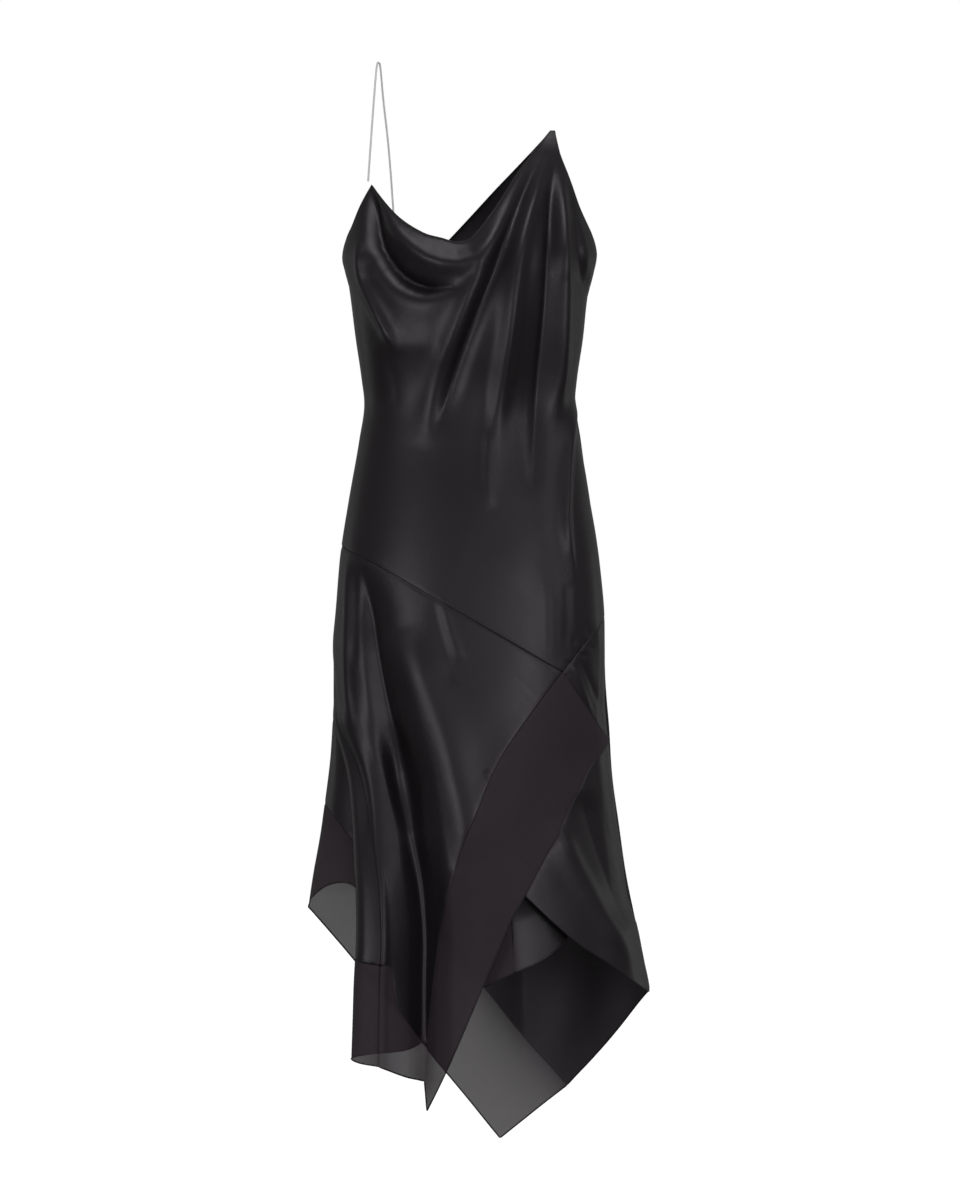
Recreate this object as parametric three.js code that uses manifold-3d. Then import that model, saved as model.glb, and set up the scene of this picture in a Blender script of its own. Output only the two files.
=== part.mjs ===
// An asymmetric slip dress in black satin, with a sheer band let in across the front skirt and a sheer
// handkerchief hem. It hangs hollow, as it does when it is worn, from one shoulder point and one fine strap.
// Sizes are millimetres. +Z is up, and the front of the dress faces -Y, so +X is the wearer's left.
// The origin is on the middle plane of the figure, level with the top of the shoulder strap.
import * as THREE from "three";
import { mergeVertices } from "three/addons/utils/BufferGeometryUtils.js";
import Module from "manifold-3d";

const wasm = await Module();
wasm.setup();

// Cloth and making
const CLOTH = 1.2; // wall thickness of the satin and of the sheer
const SEAM_GAP = 0.3; // between two pieces where they are sewn together
const STITCH_STEP = 14; // the longest straight run along a cut edge
const FINE_STEP = 5; // the same where a cut edge runs through a sharp fold
const NECK_ROLL = { reach: 16, depth: 5 }; // the neck edge turns inwards over this reach
const STRAP = { diameter: 2.4, sides: 6, steps: 44 };

// The weave grid that the cloth is shaped on: degrees round the figure, and millimetres of height
const FRONT_STEP = 4.5;
const BACK_STEP = 8;
const PLEAT_STEP = 2;
const ROW_STEP = 25;
const ROWS_BELOW = 22; // the rows lie this far below each multiple of their step

// Angles round the figure, in degrees: the front is from LEFT_SEAM to RIGHT_SEAM and the back goes on from
// RIGHT_SEAM to LEFT_SEAM + 360. Left and right are as seen from the front.
const LEFT_SEAM = -90;
const RIGHT_SEAM = 90;
const LOBE = 240; // the grain line that swings out furthest at the left of the hem
const BOXY = 0.72; // under 1 makes a section fuller at its corners than an ellipse

// Sections of the figure: how far the cloth reaches to each side, to the front and to the back
const SECTIONS = [
  { z: -40, left: 104, right: 104, front: 2, back: 2 },
  { z: -82, left: 114, right: 113, front: 4, back: 4 },
  { z: -118, left: 123, right: 122, front: 46, back: 46 },
  { z: -154, left: 135, right: 132, front: 82, back: 76 },
  { z: -190, left: 145, right: 144, front: 102, back: 92 },
  { z: -211, left: 151, right: 150.5, front: 110, back: 96 },
  { z: -232, left: 154.5, right: 154, front: 116, back: 98 },
  { z: -254, left: 149.5, right: 149, front: 120, back: 98 },
  { z: -270, left: 145, right: 143, front: 121, back: 97 },
  { z: -334, left: 137, right: 135, front: 112, back: 88 },
  { z: -382, left: 130, right: 128, front: 97, back: 80 },
  { z: -410, left: 127, right: 126, front: 90, back: 76 },
  { z: -454, left: 133, right: 132, front: 91, back: 84 },
  { z: -526, left: 145, right: 144, front: 99, back: 106 },
  { z: -598, left: 156, right: 155, front: 105, back: 122 },
  { z: -670, left: 162, right: 161, front: 107, back: 127 },
  { z: -730, left: 169, right: 161, front: 108, back: 126 },
  { z: -766, left: 175, right: 162, front: 109, back: 125 },
  { z: -796, left: 181.5, right: 164, front: 110, back: 125 },
  { z: -838, left: 180.5, right: 167, front: 112, back: 126 },
  { z: -910, left: 185, right: 176, front: 116, back: 130 },
  { z: -982, left: 193, right: 188, front: 120, back: 134 },
  { z: -1054, left: 200, right: 204, front: 123, back: 138 },
  { z: -1114, left: 204, right: 216, front: 125, back: 140 },
  { z: -1320, left: 208, right: 230, front: 130, back: 146 },
];

// How the skirt is pleated at the hem: for each grain line, its place across (1 is the side's full reach)
// and its depth (-1 is the full front reach, 1 the full back one). The rows from LOBE on are the fold at the
// left side: out to the lobe, in to the valley, and round the crest that the left seam lies on.
const PLEATED = [
  { at: -90, across: -0.52, deep: -0.94 },
  { at: -75, across: -0.46, deep: -0.88 },
  { at: -60, across: -0.36, deep: -0.75 },
  { at: -46, across: -0.265, deep: -0.58 },
  { at: -34, across: -0.185, deep: -0.77 },
  { at: -22, across: -0.085, deep: -0.95 },
  { at: -5, across: 0.07, deep: -1.02 },
  { at: 12, across: 0.26, deep: -1.0 },
  { at: 30, across: 0.48, deep: -0.9 },
  { at: 50, across: 0.71, deep: -0.69 },
  { at: 70, across: 0.92, deep: -0.38 },
  { at: 90, across: 1, deep: 0 },
  { at: 110, across: 0.93, deep: 0.38 },
  { at: 135, across: 0.7, deep: 0.72 },
  { at: 165, across: 0.3, deep: 0.97 },
  { at: 195, across: -0.14, deep: 1.0 },
  { at: 212, across: -0.45, deep: 0.9 },
  { at: 225, across: -0.74, deep: 0.68 },
  { at: 234, across: -0.92, deep: 0.38 },
  { at: 240, across: -0.995, deep: 0.08 },
  { at: 247, across: -0.89, deep: -0.2 },
  { at: 254, across: -0.63, deep: -0.36 },
  { at: 256, across: -0.46, deep: -0.37 },
  { at: 257.2, across: -0.355, deep: -0.4 },
  { at: 258.2, across: -0.33, deep: -0.45 },
  { at: 259.6, across: -0.38, deep: -0.51 },
  { at: 262, across: -0.6, deep: -0.62 },
  { at: 265, across: -0.68, deep: -0.77 },
  { at: 267.5, across: -0.63, deep: -0.89 },
  { at: 270, across: -0.52, deep: -0.94 },
];

// How far down the skirt the pleats have opened, from none to the whole of their hem shape
const PLEATING = [
  { z: -700, open: 0 },
  { z: -748, open: 0.13 },
  { z: -793, open: 0.3 },
  { z: -858, open: 0.6 },
  { z: -935, open: 0.8 },
  { z: -992, open: 0.94 },
  { z: -1060, open: 1 },
  { z: -1320, open: 1 },
];
const PLEATS_START = PLEATING[0].z;

// The largest folds, each along a line as seen from the front: out is how far it stands out of the section,
// or sinks into it where out is negative, and wide is its half width at its first point and its last.
const FOLDS = [
  {
    name: "cowl roll", side: "front", wide: [12, 14], out: 5,
    line: [[-116, -168], [-86, -208], [-46, -236], [2, -238], [42, -190], [80, -124]],
  },
  {
    name: "cowl swag", side: "front", wide: [11, 14], out: -10,
    line: [[-118, -168], [-111, -214], [-94, -248], [-72, -268], [-48, -276], [-18, -278]],
  },
  {
    name: "swag lip", side: "front", wide: [9, 9], out: 4,
    line: [[-118, -240], [-100, -272], [-66, -290], [-20, -292]],
  },
  {
    name: "left bust fold", side: "front", wide: [8, 9], out: 4,
    line: [[-132, -204], [-128, -258], [-112, -299], [-84, -360]],
  },
  {
    name: "bust drape", side: "front", wide: [12, 16], out: 5,
    line: [[46, -190], [6, -272], [-32, -372], [-56, -470]],
  },
  {
    name: "shoulder trough", side: "front", wide: [10, 12], out: -8,
    line: [[90, -116], [56, -192], [22, -280], [-16, -372], [-44, -458]],
  },
  {
    name: "shoulder ridge", side: "front", wide: [9, 14], out: 8,
    line: [[97, -100], [78, -162], [57, -238], [48, -322], [36, -400], [22, -540]],
  },
  {
    name: "armhole trough", side: "front", wide: [9, 12], out: -8,
    line: [[97, -120], [92, -210], [84, -306], [76, -400], [72, -530]],
  },
  {
    name: "armhole ridge", side: "front", wide: [8, 11], out: 6,
    line: [[106, -128], [110, -220], [104, -316], [95, -420]],
  },
  {
    name: "right hip ridge", side: "front", wide: [9, 8], out: 8,
    line: [[128, -400], [122, -440], [116, -490], [114, -550], [124, -604]],
  },
  {
    name: "hip drape", side: "front", wide: [12, 14], out: 4,
    line: [[36, -582], [88, -616], [152, -658]],
  },
  {
    name: "skirt valley", side: "front", wide: [10, 16], out: -13,
    line: [[-118, -640], [-106, -700], [-91, -770], [-76, -850], [-62, -925]],
  },
  {
    name: "skirt ridge", side: "front", wide: [20, 24], out: 8,
    line: [[-86, -696], [-52, -764], [-22, -856], [-2, -944]],
  },
  {
    name: "flap trough", side: "front", wide: [14, 16], out: -7,
    line: [[138, -900], [158, -950], [184, -1020]],
  },
  {
    name: "flap ridge", side: "front", wide: [12, 11], out: 6,
    line: [[104, -925], [122, -962], [148, -1006], [192, -1080]],
  },
  {
    name: "back shoulder ridge", side: "back", wide: [12, 20], out: 7,
    line: [[92, -116], [60, -236], [14, -360], [-30, -470]],
  },
  {
    name: "back shoulder trough", side: "back", wide: [11, 18], out: -7,
    line: [[98, -140], [88, -260], [52, -380], [14, -500]],
  },
  {
    name: "low back swag", side: "back", wide: [15, 15], out: -5,
    line: [[-120, -330], [-50, -372], [20, -372], [90, -330]],
  },
  {
    name: "back flute 1", side: "back", wide: [26, 34], out: 14,
    line: [[104, -760], [118, -960], [132, -1240]],
  },
  {
    name: "back flute 2", side: "back", wide: [24, 30], out: -16,
    line: [[52, -740], [62, -960], [70, -1300]],
  },
  {
    name: "back flute 3", side: "back", wide: [26, 34], out: 16,
    line: [[-4, -720], [-2, -960], [6, -1300]],
  },
  {
    name: "back flute 4", side: "back", wide: [24, 30], out: -16,
    line: [[-58, -740], [-66, -960], [-72, -1260]],
  },
];

const DEGREES = Math.PI / 180;
const mix = (a, b, share) => a + (b - a) * share;
const ease = (t) => t * t * (3 - 2 * t);
const clamp01 = (t) => Math.min(1, Math.max(0, t));

// A smooth function through a table's rows that never overshoots them: key is the column it is read by.
function through(rows, key, column) {
  const points = [...rows].sort((a, b) => a[key] - b[key]).map((row) => [row[key], row[column]]);
  const slope = points.slice(1).map(([x, y], i) => (y - points[i][1]) / (x - points[i][0]));
  const tangent = points.map((_, i) => {
    if (i === 0) return slope[0];
    if (i === points.length - 1) return slope[i - 1];
    const [before, after] = [slope[i - 1], slope[i]];
    return before * after <= 0 ? 0 : (2 * before * after) / (before + after);
  });
  return (at) => {
    let i = points.findIndex(([x]) => x > at) - 1;
    if (i < 0) i = at < points[0][0] ? 0 : points.length - 2;
    const [[x0, y0], [x1, y1]] = [points[i], points[i + 1]];
    const [run, t] = [x1 - x0, clamp01((at - x0) / (x1 - x0))];
    return mix(y0, y1, ease(t)) + run * t * (1 - t) * ((1 - t) * tangent[i] - t * tangent[i + 1]);
  };
}

const reach = Object.fromEntries(
  ["left", "right", "front", "back"].map((side) => [side, through(SECTIONS, "z", side)]),
);
const wrapped = [-1, 0, 1].flatMap((turn) =>
  PLEATED.slice(turn ? 0 : 1).map((row) => ({ ...row, at: row.at + 360 * turn })),
).filter((row, i, all) => all.findIndex((other) => other.at === row.at) === i);
const pleated = { across: through(wrapped, "at", "across"), deep: through(wrapped, "at", "deep") };

const pleatsOpen = through(PLEATING, "z", "open");

// The smooth section and its pleats, without the single folds.
function onSection(angle, z) {
  const [s, c] = [Math.sin(angle * DEGREES), -Math.cos(angle * DEGREES)];
  const pleating = z < PLEATS_START ? pleatsOpen(z) : 0;
  const across = mix(s, pleated.across(angle), pleating);
  const deep = mix(Math.sign(c) * Math.abs(c) ** BOXY, pleated.deep(angle), pleating);
  return new THREE.Vector3(
    across * (across < 0 ? reach.left(z) : reach.right(z)),
    deep * (deep < 0 ? reach.front(z) : reach.back(z)),
    z,
  );
}

// The direction that points out of a surface at one grain line and height.
function outOf(surface, angle, z) {
  const [turn, rise] = [0.2, 0.5];
  const round = surface(angle + turn, z).sub(surface(angle - turn, z));
  const up = surface(angle, z + rise).sub(surface(angle, z - rise));
  return round.cross(up).normalize();
}

// Where a point, as seen from the front, lies beside a line: how far off, and how far along from 0 to 1.
function beside(line, x, z) {
  let best = { off: Infinity, along: 0 };
  for (let i = 0; i + 1 < line.length; i++) {
    const [[x0, z0], [x1, z1]] = [line[i], line[i + 1]];
    const [dx, dz] = [x1 - x0, z1 - z0];
    const t = clamp01(((x - x0) * dx + (z - z0) * dz) / (dx * dx + dz * dz));
    const off = Math.hypot(x - x0 - t * dx, z - z0 - t * dz);
    if (off < best.off) best = { off, along: (i + t) / (line.length - 1) };
  }
  return best;
}

const smoothLine = (points, count) =>
  new THREE.SplineCurve(points.map(([x, z]) => new THREE.Vector2(x, z))).getPoints(count).map(({ x, y }) => [x, y]);
const folds = FOLDS.map((fold) => ({ ...fold, line: smoothLine(fold.line, 14) }));

// The front neck edge, as seen from the front, from the strap's peak down to the cowl and up to the shoulder.
const SHOULDER_POINT = { z: -82.5, inner: 97, outer: 101.5 };
const frontNeck = smoothLine(
  [[-121.5, -147.5], [-89, -188], [-58, -210], [-34, -218], [-14, -223], [4, -216], [33, -177], [62, -128],
    [SHOULDER_POINT.inner, SHOULDER_POINT.z]],
  24,
);

// How far the folds push the cloth out of its section.
function foldedOut(angle, point) {
  const side = angle <= RIGHT_SEAM ? "front" : "back";
  let out = 0;
  for (const fold of folds) {
    if (fold.side !== side) continue;
    const { off, along } = beside(fold.line, point.x, point.z);
    const wide = mix(fold.wide[0], fold.wide[1], along);
    const fade = ease(clamp01(along / 0.25)) * ease(clamp01((1 - along) / 0.25));
    out += fold.out * fade * Math.exp(-((off / wide) ** 2));
  }
  if (side === "front" && point.z > -260) {
    const { off, along } = beside(frontNeck, point.x, point.z);
    const fade = ease(clamp01(along / 0.2)) * ease(clamp01((1 - along) / 0.35));
    out -= NECK_ROLL.depth * fade * clamp01(1 - off / NECK_ROLL.reach) ** 2;
  }
  return out;
}

// The outer face of the cloth.
function onCloth(angle, z) {
  const point = onSection(angle, z);
  return point.addScaledVector(outOf(onSection, angle, z), foldedOut(angle, point));
}

// The grain line that is seen at x from the front, at one height, on the front or on the back.
function grainAt(side, x, z) {
  let [low, high] = side === "front" ? [LEFT_SEAM, RIGHT_SEAM] : [LEFT_SEAM + 360, RIGHT_SEAM];
  if (side === "back" && z < PLEATS_START) low = LOBE;
  for (let i = 0; i < 40; i++) {
    const middle = (low + high) / 2;
    if (onSection(middle, z).x < x) low = middle;
    else high = middle;
  }
  return (low + high) / 2;
}

// A cut edge as [grain line, height] points, in short steps along a line. The line's own points are turned
// into grain lines and heights by onGrain.
function stepped(line, step, onGrain) {
  const cut = [onGrain(line[0])];
  line.slice(1).forEach((to, i) => {
    const from = line[i];
    const ends = [from, to].map((point) => onSection(...onGrain(point)));
    const steps = Math.max(1, Math.ceil(ends[0].distanceTo(ends[1]) / step));
    for (let k = 1; k <= steps; k++)
      cut.push(onGrain([mix(from[0], to[0], k / steps), mix(from[1], to[1], k / steps)]));
  });
  return cut;
}

// A line drawn as seen from the front, and one drawn straight on the cloth's grain lines.
const seen = (side, line, step = STITCH_STEP) => stepped(line, step, ([x, z]) => [grainAt(side, x, z), z]);
const laid = (line, step = STITCH_STEP) => stepped(line, step, (point) => point);
const down = (angle, from, to) => laid([[angle, from], [angle, to]]);

const reversed = (edge) => [...edge].reverse();
const turned = (edge, by) => edge.map(([angle, z]) => [angle + by, z]);

// Heights where the pieces meet the side seams
const UNDERARM = -270;
const HIP_LEFT = -580;
const HIP_RIGHT = -664;
const BAND_TOP = -811;
const BAND_FOOT = -816;
const SIDE_POINT = -1114;
const LEFT_SATIN_END = -1077;
const LEFT_SEAM_END = -1195;

// Cut edges that two pieces share, or that are open
const HIP_CORNER = [110, -731];
const BAND_CORNER = [114, -736];
const SLIT_TOP = [65, -993];
const BAND_TIP = [-50.5, -1251];
const BACK_POINT = [36.6, -1306.5];
const BAND_CUT = [119, -1239.5];
const edge = {
  armholeLeft: seen("front", [[-149, -256], [-153, -240], [-151.5, -226], [-146.5, -211], [-140, -197],
    [-130, -168], [-125.5, -156], frontNeck[0]]),
  neck: seen("front", frontNeck),
  shoulder: seen("front", [[SHOULDER_POINT.inner, SHOULDER_POINT.z], [SHOULDER_POINT.outer, SHOULDER_POINT.z]]),
  armholeRight: seen("front", [[SHOULDER_POINT.outer, SHOULDER_POINT.z], [107, -110], [122.5, -154],
    [132.5, -182], [146, -211], [151, -228], [151, -240], [147.5, -255]]),
  hipLeft: seen("front", [[-155, HIP_LEFT], [-88, -617], HIP_CORNER]),
  hipRight: seen("front", [HIP_CORNER, [136, -700], [162, HIP_RIGHT]]),
  bandTop: seen("front", [BAND_CORNER, [162, BAND_TOP]]),
  bandRight: seen("front", [[165, BAND_FOOT], [143, -846], [113, -904], SLIT_TOP]),
  bandLeft: seen("front", [[108.5, -732.5], [83, -766], [35.6, -834], [7.3, -899], [-17.4, -963.5], [-34, -1034],
    [-43.5, -1099.5], [-51, -1176]]),
  bandTail: seen("front", [[-51, -1176], [-54, -1216]]),
  slit: seen("front", [SLIT_TOP, [49.7, -1020], [37.9, -1046], [14.4, -1102], [-28, -1201.5], BAND_TIP]),
  flapHem: seen("front", [SLIT_TOP, [120.7, -1045], [168.8, -1079], [215, SIDE_POINT - 1]]),
  leftSatinEnd: seen("front", [[-104, LEFT_SATIN_END], [-92, -1080], [-86, -1121], [-71, -1148.5], [-51, -1176]],
    FINE_STEP),
  leftHem: seen("front", [[-106, LEFT_SEAM_END], [-77, -1208], [-54, -1216]]),
  backNeck: seen("back", [[SHOULDER_POINT.outer - 4.5, SHOULDER_POINT.z], [34, -143], [-27, -207],
    [-46, -224], [-80, -242], [-120, -256], [-144, UNDERARM]]),
  backArmhole: [[95, -258], [99, -240], [103, -211], [107, -182], [111, -150], [115, -112],
    [grainAt("back", SHOULDER_POINT.outer, SHOULDER_POINT.z), SHOULDER_POINT.z]],
  hipBack: seen("back", [[-157, HIP_LEFT], [162, HIP_RIGHT]]),
  backSatinEnd: seen("back", [BAND_CUT, [12, -1117], [-61, -1031], [-152, -921], [-176, -891]]),
  foldSatinEnd: laid([[241.5, -889], [248, -906], [253, -936], [257, -978], [260, -1018], [264, -1064],
    [LEFT_SEAM + 360, LEFT_SATIN_END]], FINE_STEP),
  backHemRight: seen("back", [[215, SIDE_POINT], [179.5, -1167], BAND_CUT]),
  backHemPoint: seen("back", [BAND_CUT, BACK_POINT, [-51.5, -1199], [-136, -1092], [-196, -1014]]),
  foldHem: laid([[242, -1004], [247, -988], [252, -984], [254, -1010], [256, -1090], [257.5, -1150],
    [259.5, -1178], [265, -1187], [LEFT_SEAM + 360, LEFT_SEAM_END]]),
};

// One grid of cloth cut to an outline of [grain line, height] points. The grid is cut flat, as a thick
// block, and its two faces then take the cloth's outer and inner shape. Alternate points of the block stand a
// little proud, because the cut would otherwise merge the points of a flat face.
const BLOCK = { half: 100, proud: 5, deeper: 400 };

function linesBetween(low, high, pleated) {
  const back = pleated ? LOBE - BACK_STEP : LEFT_SEAM + 360;
  const lines = [];
  for (let a = LEFT_SEAM - FRONT_STEP; a < RIGHT_SEAM; a += FRONT_STEP) lines.push(a);
  for (let a = RIGHT_SEAM; a < back; a += BACK_STEP) lines.push(a);
  for (let a = back; a < LEFT_SEAM + 360 + BACK_STEP; a += pleated ? PLEAT_STEP : BACK_STEP) lines.push(a);
  const first = lines.findLastIndex((a) => a < low);
  const last = lines.findIndex((a) => a > high);
  return lines.slice(first, last + 1);
}

function block(columns, rows) {
  const place = [];
  const index = (i, j, top) => (i * rows.length + j) * 2 + top;
  columns.forEach((angle, i) =>
    rows.forEach((z, j) => {
      const proud = ((i + j) % 2) * BLOCK.proud;
      place.push(angle, z, proud - BLOCK.half, angle, z, proud + BLOCK.half);
    }),
  );
  const faces = [];
  const quad = (a, b, c, d) => faces.push(a, b, c, a, c, d);
  const [lastI, lastJ] = [columns.length - 1, rows.length - 1];
  for (let i = 0; i < lastI; i++) {
    for (let j = 0; j < lastJ; j++) {
      quad(index(i, j, 1), index(i + 1, j, 1), index(i + 1, j + 1, 1), index(i, j + 1, 1));
      quad(index(i, j, 0), index(i, j + 1, 0), index(i + 1, j + 1, 0), index(i + 1, j, 0));
    }
    quad(index(i, 0, 0), index(i + 1, 0, 0), index(i + 1, 0, 1), index(i, 0, 1));
    quad(index(i, lastJ, 1), index(i + 1, lastJ, 1), index(i + 1, lastJ, 0), index(i, lastJ, 0));
  }
  for (let j = 0; j < lastJ; j++) {
    quad(index(0, j, 1), index(0, j + 1, 1), index(0, j + 1, 0), index(0, j, 0));
    quad(index(lastI, j, 0), index(lastI, j + 1, 0), index(lastI, j + 1, 1), index(lastI, j, 1));
  }
  return solidFrom(place, faces);
}

const solidFrom = (place, faces) =>
  new wasm.Manifold(
    new wasm.Mesh({ numProp: 3, vertProperties: new Float32Array(place), triVerts: new Uint32Array(faces) }),
  );

// The outline moved in by half the seam gap, measured on the cloth.
function insideSeams(outline) {
  return outline.map(([angle, z], i) => {
    const round = (turn) => onSection(angle + turn, z).distanceTo(onSection(angle, z));
    const side = ([a, y]) => new THREE.Vector2(Math.sign(a - angle) * round(a - angle), y - z).normalize();
    const ahead = side(outline[(i + 1) % outline.length]);
    const behind = side(outline.at(i - 1)).negate();
    const normals = [behind, ahead].map((v) => new THREE.Vector2(-v.y, v.x));
    const bend = Math.max(0.3, 1 + normals[0].dot(normals[1]));
    const move = normals[0].add(normals[1]).multiplyScalar(SEAM_GAP / 2 / bend);
    let turn = Math.sign(move.x) * 0.1;
    for (let k = 0; turn && k < 8; k++) turn *= Math.abs(move.x) / round(turn);
    return [angle + turn, z + move.y];
  });
}

function cutPiece(outline, under) {
  const tidy = outline.filter(([a, z], i) => {
    const [b, y] = outline.at(i - 1);
    return Math.hypot((a - b) * 2.5, z - y) > 0.5;
  });
  const signed = tidy.reduce((sum, [a, z], i) => sum + a * tidy.at(i - 1)[1] - tidy.at(i - 1)[0] * z, 0);
  const cut = insideSeams(signed > 0 ? reversed(tidy) : tidy);
  const shape = new THREE.Shape(cut.map(([a, z]) => new THREE.Vector2(a, z)));
  const prism = new THREE.ExtrudeGeometry(shape, { depth: 2 * BLOCK.deeper, bevelEnabled: false });
  prism.translate(0, 0, -BLOCK.deeper);
  prism.deleteAttribute("normal");
  prism.deleteAttribute("uv");
  const cutter = mergeVertices(prism, 1e-5);
  const angles = cut.map(([a]) => a);
  const heights = cut.map(([, z]) => z);
  const columns = linesBetween(Math.min(...angles), Math.max(...angles), Math.min(...heights) < PLEATS_START);
  const rows = [];
  const lowest = Math.floor(Math.min(...heights) / ROW_STEP) * ROW_STEP - ROWS_BELOW;
  for (let z = lowest; z < Math.max(...heights) + ROW_STEP; z += ROW_STEP) rows.push(z);
  const flat = block(columns, rows).intersect(solidFrom(cutter.attributes.position.array, cutter.index.array));
  const { vertProperties, triVerts } = flat.getMesh();
  const place = new Float32Array(vertProperties.length);
  for (let i = 0; i < place.length; i += 3) {
    const [angle, z, w] = vertProperties.slice(i, i + 3);
    const inner = w < 0 ? CLOTH : 0;
    const point = onCloth(angle, z);
    const depth = inner + (under ? under(point) : 0);
    point.addScaledVector(outOf(onCloth, angle, z), -depth).toArray(place, i);
  }
  const geometry = new THREE.BufferGeometry();
  geometry.setAttribute("position", new THREE.BufferAttribute(place, 3));
  geometry.setIndex(new THREE.BufferAttribute(triVerts, 1));
  geometry.computeVertexNormals();
  return geometry;
}

const satin = new THREE.MeshStandardMaterial({ color: 0x272427, roughness: 0.35, metalness: 0 });
const sheer = new THREE.MeshStandardMaterial({ color: 0x55504f, roughness: 0.7, metalness: 0, transparent: true, opacity: 0.7 });
const strapMaterial = new THREE.MeshStandardMaterial({ color: 0xdcdcdc, roughness: 0.3, metalness: 0 });

const dress = new THREE.Group();
function sew(name, material, outline, under) {
  const mesh = new THREE.Mesh(cutPiece(outline, under), material);
  mesh.name = name;
  dress.add(mesh);
}

// Front body: the cowl, the shoulder point and the bias-cut front down to the hip seam.
sew("front_body", satin, [
  ...down(LEFT_SEAM, HIP_LEFT, UNDERARM),
  ...edge.armholeLeft,
  ...edge.neck,
  ...edge.shoulder,
  ...edge.armholeRight,
  ...down(RIGHT_SEAM, UNDERARM, HIP_RIGHT),
  ...reversed(edge.hipRight),
  ...reversed(edge.hipLeft),
]);

// Back body: it rises to the same shoulder point and is cut away slantwise to the other side.
sew("back_body", satin, [
  ...down(RIGHT_SEAM, HIP_RIGHT, UNDERARM),
  ...edge.backArmhole,
  ...edge.backNeck,
  ...down(LEFT_SEAM + 360, UNDERARM, HIP_LEFT),
  ...edge.hipBack,
]);

// Front skirt: satin left of the band, a small side piece above it and a loose flap to its right.
sew("front_left_skirt", satin, [
  ...down(LEFT_SEAM, LEFT_SATIN_END, HIP_LEFT),
  ...edge.hipLeft,
  ...edge.bandLeft,
  ...reversed(edge.leftSatinEnd),
]);
sew("front_side_piece", satin, [
  ...edge.hipRight,
  ...down(RIGHT_SEAM, HIP_RIGHT, BAND_TOP),
  ...reversed(edge.bandTop),
]);
sew("front_flap", satin, [
  ...down(RIGHT_SEAM, BAND_FOOT, SIDE_POINT),
  ...reversed(edge.flapHem),
  ...reversed(edge.bandRight),
]);

// The sheer band across the front, ending in a long tip, and the sheer border left of it.
sew("front_sheer_band", sheer, [
  ...edge.bandTop,
  ...edge.bandRight,
  ...edge.slit,
  ...reversed(edge.bandTail),
  ...reversed(edge.bandLeft),
]);
sew("front_left_border", sheer, [
  ...edge.leftSatinEnd,
  ...edge.bandTail,
  ...reversed(edge.leftHem),
  ...down(LEFT_SEAM, LEFT_SEAM_END, LEFT_SATIN_END),
]);

// Back skirt: satin that wraps round the pleat at the left side, with a sheer border to the hem's long point.
sew("back_skirt", satin, [
  ...reversed(edge.hipBack),
  ...down(LEFT_SEAM + 360, HIP_LEFT, LEFT_SATIN_END),
  ...reversed(edge.foldSatinEnd),
  ...reversed(edge.backSatinEnd),
  ...reversed(edge.backHemRight),
  ...down(RIGHT_SEAM, SIDE_POINT, HIP_RIGHT),
]);
sew("back_sheer_border", sheer, [
  ...edge.backSatinEnd,
  ...edge.foldSatinEnd,
  ...down(LEFT_SEAM + 360, LEFT_SATIN_END, LEFT_SEAM_END),
  ...reversed(edge.foldHem),
  ...reversed(edge.backHemPoint),
]);

// The underlap behind the opening between the band and the flap: satin with a sheer corner. It is sewn to the
// wrong side along its slanting top edge, and hangs away from the front below it.
const UNDERLAP_SEWN = [[45, -960], [136, -896]];
const UNDERLAP = { sewn: CLOTH + 0.8, hangs: 15, over: 70 };
const underlapDepth = (point) => {
  const { off } = beside(UNDERLAP_SEWN, point.x, point.z);
  return UNDERLAP.sewn + UNDERLAP.hangs * ease(clamp01(off / UNDERLAP.over));
};
const underlapCut = seen("front", [[48, -966], [50, -1010], [54, -1084]]);
sew("underlap", satin, [
  ...underlapCut.slice(0, 1),
  ...seen("front", [[136, -900], [145, -976], [128, -1036], [108, -1058], [84, -1073], [54, -1084]]),
  ...reversed(underlapCut),
], underlapDepth);
sew("underlap_sheer_corner", sheer, [
  ...underlapCut,
  ...seen("front", [[17, -1102], [13, -1066], [40, -980]]),
], underlapDepth);

// The strap runs from the left peak over the shoulder to the back neck edge, with its top at height 0.
const STRAP_PATH = [
  [-121.4, -39.6, -147],
  [-118, -34.5, -96],
  [-114.6, -27, -46],
  [-111.7, -10, -7],
  [-109.6, 0, -STRAP.diameter / 2],
  [-107.6, 10, -7],
  [-104.4, 27, -44],
  [-98.5, 52, -100],
  [-93.5, 73.5, -170],
  [-90, 83.4, -244.8],
];
function strap() {
  const section = new THREE.Shape(
    Array.from({ length: STRAP.sides }, (_, i) => {
      const turn = (i / STRAP.sides) * 2 * Math.PI;
      return new THREE.Vector2(Math.cos(turn), Math.sin(turn)).multiplyScalar(STRAP.diameter / 2);
    }),
  );
  const path = new THREE.CatmullRomCurve3(STRAP_PATH.map((point) => new THREE.Vector3(...point)), false, "centripetal");
  const mesh = new THREE.Mesh(
    new THREE.ExtrudeGeometry(section, { steps: STRAP.steps, bevelEnabled: false, extrudePath: path }),
    strapMaterial,
  );
  mesh.name = "shoulder_strap";
  return mesh;
}
dress.add(strap());

export default dress;
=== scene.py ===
# A black satin slip dress with a sheer band and a sheer handkerchief hem, hanging hollow as it is worn.
# Each section makes one sewn piece, or a group of like ones, with its cut, its cloth and its folds.
# Cloth is worked out in millimetres, on the same figure as the solids, and made in metres.
import math
import bpy
import numpy as np
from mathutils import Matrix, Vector
from mathutils.geometry import delaunay_2d_cdt


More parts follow.
